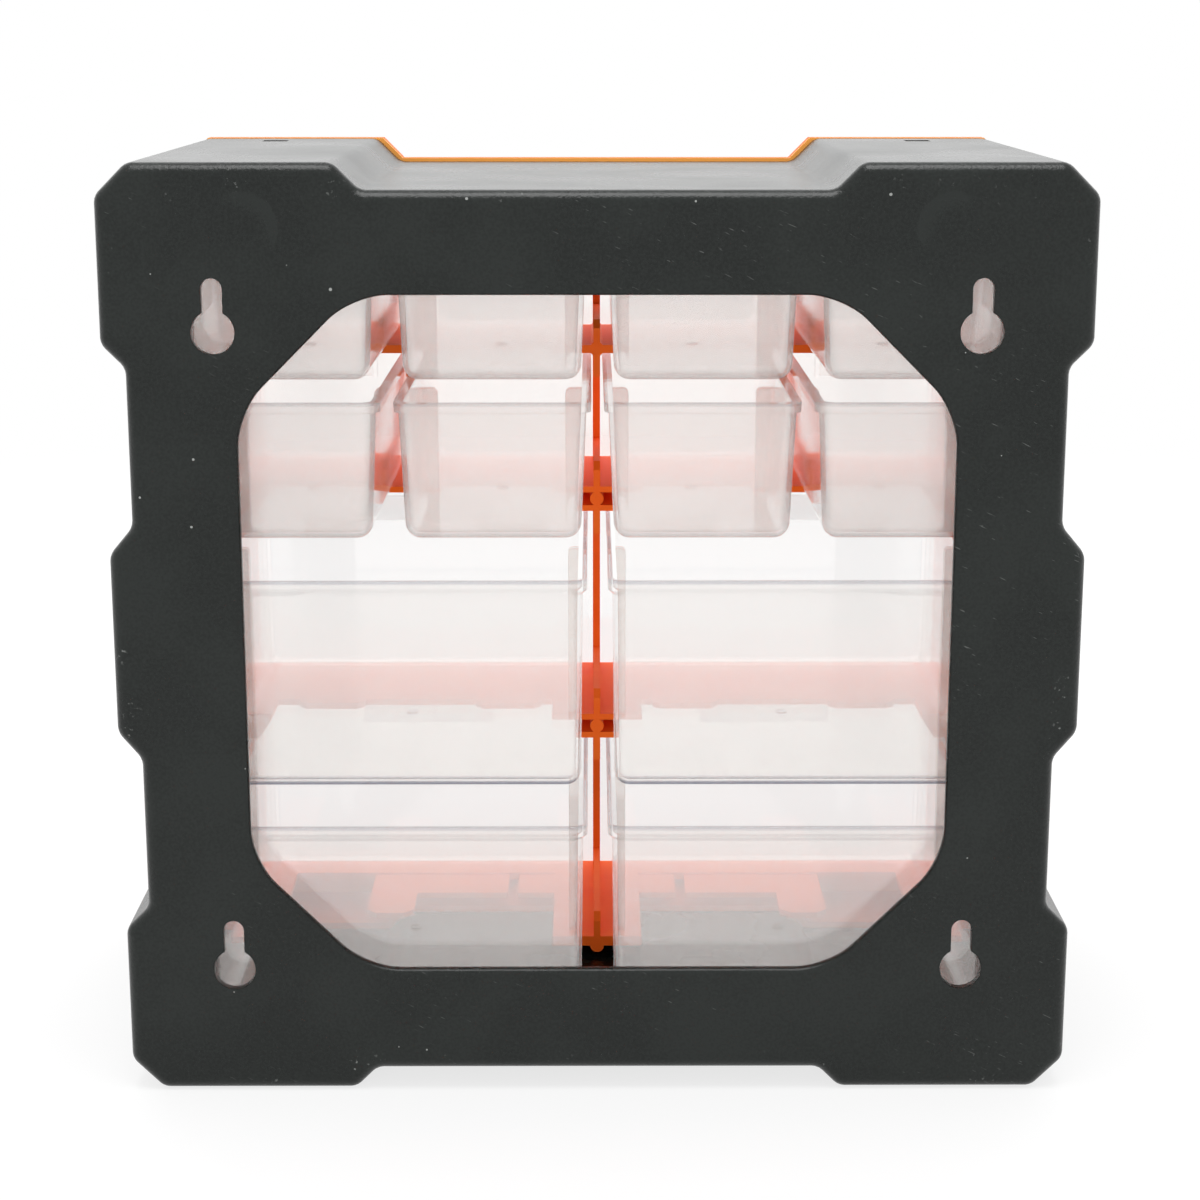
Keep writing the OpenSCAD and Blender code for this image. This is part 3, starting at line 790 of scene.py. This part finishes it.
casingFinish = {
    "dark": (0.0034, 0.0052, 0.0042, 1),
    "pale": (0.0098, 0.0126, 0.0112, 1),
    "scuff": (0.26, 0.27, 0.26, 1),
    "roughness": 0.28,
    "roughSpread": 0.12,
    "specular": 0.33,
    "ior": 1.49,
    "mottleSize": 30.0 * mm,
    "mottleFade": (0.35, 0.7),
    "mottleShare": 0.6,
    "grainSize": 0.8 * mm,
    "grainFade": (0.3, 0.7),
    "grainShare": 0.7,
    "grainDepth": 0.12 * mm,
    "grainStrength": 0.8,
    "sinkAt": (91.0 * mm, 236.5 * mm),  # sink marks over the corner posts, their sheen painted as a paler ring
    "sinkRadius": 9.0 * mm,
    "sinkRing": (0.3, 0.95, 1.1),       # start, crest and end, in radii
    "sinkSheenShare": 0.9,
    "fewSpecks": (12.0 * mm, 0.035, 0.72),  # spacing, size in spacings, share left out
    "fineSpecks": (5.0 * mm, 0.04, 0.9),
    "wearSide": (119.5 * mm, 126.5 * mm),
    "wearTop": (240.5 * mm, 247.5 * mm),
    "wearBase": (13.0 * mm, 6.0 * mm),
    "wearBack": (70.0 * mm, 76.5 * mm),
    "wearShare": 0.8,
    "clusterSize": 16.0 * mm,
    "clusterFade": (0.55, 0.68),
    "markSize": 1.2 * mm,
    "markFade": (0.62, 0.72),
    "scratchSize": 5.0 * mm,
    "scratchStretch": (1, 1, 9),
    "scratchTurn": 0.45,
    "scratchFade": (0.68, 0.74),
    "scratchShare": 0.35,
    "patchSize": 45.0 * mm,             # areas that are scratched
    "patchFade": (0.5, 0.6),
}


def wearMask(tree, look):  # scuffs in clusters along the outer edges of the back
    height = tree.axis(2)
    edges = abs(tree.axis(0)).fade(*look["wearSide"])
    edges = edges.larger(height.fade(*look["wearTop"])).larger(height.fade(*look["wearBase"]))
    clusters = tree.noise(look["clusterSize"]).fade(*look["clusterFade"])
    marks = tree.noise(look["markSize"], 3.0).fade(*look["markFade"])
    lines = tree.noise(look["scratchSize"], 2.0, look["scratchStretch"], look["scratchTurn"])
    patches = tree.noise(look["patchSize"], 1.0).fade(*look["patchFade"])
    scratches = lines.fade(*look["scratchFade"]) * patches
    worn = (edges * clusters * marks).larger(look["scratchShare"] * scratches)
    return worn * tree.axis(1).fade(*look["wearBack"])


# painted highlight: a paler ring, on its lit side only, stands in for the sheen on the sink marks
# over the corner posts
def paintedSinkSheen(tree, look):
    middleX, middleZ = look["sinkAt"]
    start, crest, end = look["sinkRing"]
    inward = middleX - abs(tree.axis(0))
    up = tree.axis(2) - middleZ
    reach = (inward * inward + up * up) ** 0.5 / look["sinkRadius"]
    ring = reach.fade(start, crest) * (1 - reach.fade(crest, end))
    return ring * (inward + up).fade(0, look["sinkRadius"])


def speckMask(tree, specks):
    spacing, size, leftOut = specks
    near, pick = tree.spots(spacing)
    return (near < size) * (pick > leftOut)


def casingPlastic():
    look = casingFinish
    made, tree = newMaterial("casing_plastic")
    mottle = tree.noise(look["mottleSize"], 4.0)
    grain = tree.noise(look["grainSize"])
    specks = speckMask(tree, look["fewSpecks"]).larger(speckMask(tree, look["fineSpecks"]))
    haze = look["mottleShare"] * mottle.fade(*look["mottleFade"])
    haze += look["grainShare"] * grain.fade(*look["grainFade"])
    # painted highlight of the sink marks, added to the random tone
    haze += look["sinkSheenShare"] * paintedSinkSheen(tree, look)
    colour = haze.blend(look["dark"], look["pale"])
    colour = specks.larger(look["wearShare"] * wearMask(tree, look)).blend(colour, look["scuff"])
    shader = tree.add("BsdfPrincipled", None, {
        "Base Color": colour,
        "Roughness": look["roughness"] + look["roughSpread"] * (mottle - 0.5),
        "Specular IOR Level": look["specular"],
        "IOR": look["ior"],
        "Normal": tree.bump(grain, look["grainDepth"], look["grainStrength"]),
    })
    return finishMaterial(made, shader)


frameFinish = {
    "dark": (0.96, 0.125, 0.012, 1),
    "pale": (0.99, 0.165, 0.020, 1),
    "paintedLipLight": (1.0, 0.42, 0.09, 1),    # painted light: the thin upper rim at the back is made paler, where light soaks through it
    "paintedLightFrom": (-64.6 * mm, 247.0 * mm),
    "roughness": 0.5,
    "roughSpread": 0.1,
    "specular": 0.08,
    "ior": 1.49,
    "flowSize": 20.0 * mm,
    "flowFade": (0.3, 0.7),
    "grainSize": 0.7 * mm,
    "grainDepth": 0.03 * mm,
    "grainStrength": 0.5,
}


def framePlastic():
    look = frameFinish
    made, tree = newMaterial("frame_plastic")
    flow = tree.noise(look["flowSize"], 3.0)
    grain = tree.noise(look["grainSize"])
    # painted light: the thin upper rim at the back gets a paler orange
    paintedLipLight = (tree.axis(1) > look["paintedLightFrom"][0]) * (tree.axis(2) > look["paintedLightFrom"][1])
    colour = flow.fade(*look["flowFade"]).blend(look["dark"], look["pale"])
    shader = tree.add("BsdfPrincipled", None, {
        "Base Color": paintedLipLight.blend(colour, look["paintedLipLight"]),
        "Roughness": look["roughness"] + look["roughSpread"] * (flow - 0.5),
        "Specular IOR Level": look["specular"],
        "IOR": look["ior"],
        "Normal": tree.bump(grain, look["grainDepth"], look["grainStrength"]),
    })
    return finishMaterial(made, shader)


milkyFinish = {
    "tint": (0.971, 0.965, 0.957, 1),
    "deep": (0.985, 0.980, 0.975, 1),
    "haze": (0.94, 0.94, 0.925, 1),
    "lampTint": (0.97, 0.968, 0.966, 1),
    "frost": 0.5,
    "frosted": 0.03,            # share of the pane that blurs what lies behind
    "ior": 1.1,
    "milk": 0.22,               # share of haze face on
    "edgeMilk": 0.25,           # and edge on
    "edgePower": 5.0,
    "through": 0.7,             # share of the haze lit from its far side
    "gloss": 0.07,
    "mirrorPower": 4.0,
    "roughness": 0.1,
    "flowSize": 4.0 * mm,
    "waveDepth": 0.1 * mm,
    "waveStrength": 0.5,
    "paintedShade": (0.54, 0.545, 0.56, 1),  # painted shade: dark tint where the plastic is seen through its thickness, standing in for the shading that refraction gives there
    "footHigh": (0.3 * mm, 1.6 * mm),
    "footRear": (62.0 * mm, 64.5 * mm),
    "footShare": 0.15,
    "rimFrom": 36.2 * mm,       # above the drawer's floor
    "rimShare": 0.25,
    "gateShare": 0.1,
    "panelDeep": 3.25 * mm,
    "panelShare": 0.11,
}
clearFinish = {
    "tint": (0.972, 0.967, 0.959, 1),
    "deep": (0.94, 0.945, 0.95, 1),
    "haze": (0.93, 0.925, 0.915, 1),
    "lampTint": (0.955, 0.955, 0.955, 1),
    "frost": 0.4,
    "frosted": 0.03,
    "ior": 1.1,
    "milk": 0.06,
    "edgeMilk": 0.2,
    "edgePower": 6.0,
    "through": 0.6,
    "gloss": 0.05,
    "mirrorPower": 3.6,
    "roughness": 0.01,
    "flowSize": 12.0 * mm,
    "waveDepth": 0.02 * mm,
    "waveStrength": 0.5,
    # painted shade where the plastic is thick
    "paintedShade": (0.53, 0.54, 0.59, 1),
    "footHigh": (0.6 * mm, 2.4 * mm),
    "footRear": (62.5 * mm, 65.0 * mm),
    "footShare": 0.9,
    "rimFrom": 57.2 * mm,
    "rimShare": 0.32,
    "gateShare": 0.07,
    "panelDeep": 3.25 * mm,
    "panelShare": 0.11,
}


def paintedShadeMask(tree, look, places):  # painted shade: foot, rim, panel and gate mark are dimmed where the plastic is thick, standing in for the dark lines that refraction draws there
    levels = [place[2] for place in places]
    low, high = min(levels), max(levels)    # floors of the two rows
    front = places[0][1]
    halfPitch = min(abs(place[0]) for place in places)
    along, height = tree.axis(1), tree.axis(2)
    up = height - low - (high - low) * (height > high - mm)
    foot = (1 - up.fade(*look["footHigh"])) * along.fade(*look["footRear"])
    panel = along < front + look["panelDeep"]
    rim = (up > look["rimFrom"]) * (1 - panel)
    across = halfPitch - tree.maths("PINGPONG", tree.axis(0), halfPitch)
    ahead = along - (front + drawerShape["gateAt"])
    onGate = (across * across + ahead * ahead) ** 0.5 < drawerShape["gateRadius"]
    gate = onGate * (up < 2 * mm)
    thick = (look["footShare"] * foot).larger(look["panelShare"] * panel)
    return thick.larger(look["rimShare"] * rim).larger(look["gateShare"] * gate)


def seeThrough(name, look, places):
    made, tree = newMaterial(name)
    flow = tree.noise(look["flowSize"])
    grazing = tree.add("LayerWeight", None, {"Blend": 0.5}, out="Facing")  # 0 face on, 1 edge on
    pane = tree.add("BsdfTransparent", None, {"Color": look["tint"]})
    frosted = tree.add("BsdfPrincipled", None, {
        "Base Color": look["deep"],
        "Roughness": look["frost"],
        "IOR": look["ior"],
        "Transmission Weight": 1.0,
    })
    front = tree.add("BsdfDiffuse", None, {"Color": look["haze"]})
    back = tree.add("BsdfTranslucent", None, {"Color": look["haze"]})
    milk = tree.layered(look["through"], front, back)
    shine = tree.add("BsdfGlossy", None, {
        "Color": (1, 1, 1, 1),
        "Roughness": look["roughness"],
        "Normal": tree.bump(flow, look["waveDepth"], look["waveStrength"]),
    })
    paintedShade = tree.add("BsdfTransparent", None, {"Color": look["paintedShade"]})
    thin = tree.add("BsdfTransparent", None, {"Color": look["lampTint"]})
    haze = look["milk"] + (look["edgeMilk"] - look["milk"]) * grazing ** look["edgePower"]
    mirror = look["gloss"] + (1 - look["gloss"]) * grazing ** look["mirrorPower"]
    body = tree.layered(look["frosted"], pane, frosted)
    body = tree.layered(haze, body, milk)
    body = tree.layered(mirror, body, shine)
    # painted shade over the thick parts
    body = tree.layered(paintedShadeMask(tree, look, places), body, paintedShade)
    shadow = tree.add("LightPath", out="Is Shadow Ray")
    soft = tree.add("LightPath", out="Is Diffuse Ray")
    shader = tree.layered(shadow.larger(soft), body, thin)  # other pieces' light is only tinted
    return finishMaterial(made, shader)


def paint(pieces, finish):
    for piece in pieces:
        piece.data.materials.clear()
        piece.data.materials.append(finish)


paint([casingShell], casingPlastic())
paint([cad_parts["front_frame"]], framePlastic())
paint(smallDrawers, seeThrough("milky_plastic", milkyFinish, smallPlaces))
paint(wideDrawers, seeThrough("clear_plastic", clearFinish, widePlaces))
print("finishes set")


# Stage, light and camera

stageLook = {
    "floorSize": 12.0,
    "floor": (0.93, 0.93, 0.93, 1),
    "floorGlow": 0.75,
    "glowFade": (0.1, 1.2),  # squares of the distances where the floor turns to plain white
    "fill": 0.7,
    "white": (1, 1, 1, 1),
}


def whiteOnSight(tree):  # 1 for rays from the camera, mirrors and glass
    seen = tree.add("LightPath", out="Is Camera Ray")
    mirrored = tree.add("LightPath", out="Is Glossy Ray")
    through = tree.add("LightPath", out="Is Transmission Ray")
    return seen.larger(mirrored).larger(through)


def floorWhite():
    made, tree = newMaterial("floor_white")
    paintwork = tree.add("BsdfDiffuse", None, {"Color": stageLook["floor"]})
    glow = tree.add("Emission", None, {"Color": stageLook["white"], "Strength": 1.0})
    x, y = tree.axis(0), tree.axis(1)
    far = (x * x + y * y).fade(*stageLook["glowFade"])
    share = stageLook["floorGlow"] + (1 - stageLook["floorGlow"]) * far
    return finishMaterial(made, tree.layered(whiteOnSight(tree) * share, paintwork, glow))


def makeSky():
    world = bpy.data.worlds.new("studio")
    scene.world = world
    world.use_nodes = True
    world.node_tree.nodes.clear()
    tree = Wire(world.node_tree)
    level = stageLook["fill"] + (1 - stageLook["fill"]) * whiteOnSight(tree)
    light = tree.add("Background", None, {"Color": stageLook["white"], "Strength": level})
    out = world.node_tree.nodes.new("ShaderNodeOutputWorld")
    world.node_tree.links.new(light.socket, out.inputs["Surface"])


def makeStage():
    floor = freshPrimitive(
        "studio_floor", bpy.ops.mesh.primitive_plane_add,
        size=stageLook["floorSize"], location=(0, 0, 0),
    )
    floor.data.materials.append(floorWhite())
    makeSky()


lampLook = {
    "soft_top": {
        "at": (0, 0.2, 1.5), "aim": (0, 0, 0.12),
        "wide": 0.8, "high": 0.8, "glow": 5.6, "mirrored": True,
    },
    "soft_behind": {
        "at": (0, -1.3, 0.5), "aim": (0, 0, 0.15),
        "wide": 2.2, "high": 1.0, "glow": 3.0, "mirrored": False,
    },
    "low_sheen": {
        "at": (0, -1.3, 0.7), "aim": (0, 0, 0.15),
        "wide": 3.0, "high": 1.4, "glow": 0.42, "mirrored": True,
    },
    "soft_near": {
        "at": (0.2, 1.7, 0.5), "aim": (0, 0, 0.12),
        "wide": 1.6, "high": 0.8, "glow": 2.4, "mirrored": False,
    },
}


def makeLamps():
    for name, look in lampLook.items():
        data = bpy.data.lights.new(name, "AREA")
        data.shape = "RECTANGLE"
        data.size = look["wide"]
        data.size_y = look["high"]
        data.energy = look["glow"] * pi * look["wide"] * look["high"]
        lamp = bpy.data.objects.new(name, data)
        scene.collection.objects.link(lamp)
        lamp.visible_camera = False
        lamp.visible_glossy = look["mirrored"]
        lamp.visible_transmission = False
        lamp.location = look["at"]
        sight = Vector(look["aim"]) - Vector(look["at"])
        lamp.rotation_euler = sight.to_track_quat("-Z", "Y").to_euler()


cameraLook = {
    "lens": 72.17,
    "sensor": 36.0,
    "at": (0.001854, 0.700646, 0.279719),
    "down": 12.758,
    "turn": 179.774,
}


def makeCamera():
    data = bpy.data.cameras.new("photo_camera")
    data.lens = cameraLook["lens"]
    data.sensor_width = cameraLook["sensor"]
    camera = bpy.data.objects.new("photo_camera", data)
    scene.collection.objects.link(camera)
    camera.location = cameraLook["at"]
    camera.rotation_euler = (radians(90 - cameraLook["down"]), 0, radians(cameraLook["turn"]))
    scene.camera = camera


makeStage()
makeLamps()
makeCamera()
scene.view_settings.view_transform = "Standard"
scene.cycles.transparent_max_bounces = 40
scene.cycles.max_bounces = 24
scene.cycles.transmission_bounces = 24
print("stage, lamps and camera set")
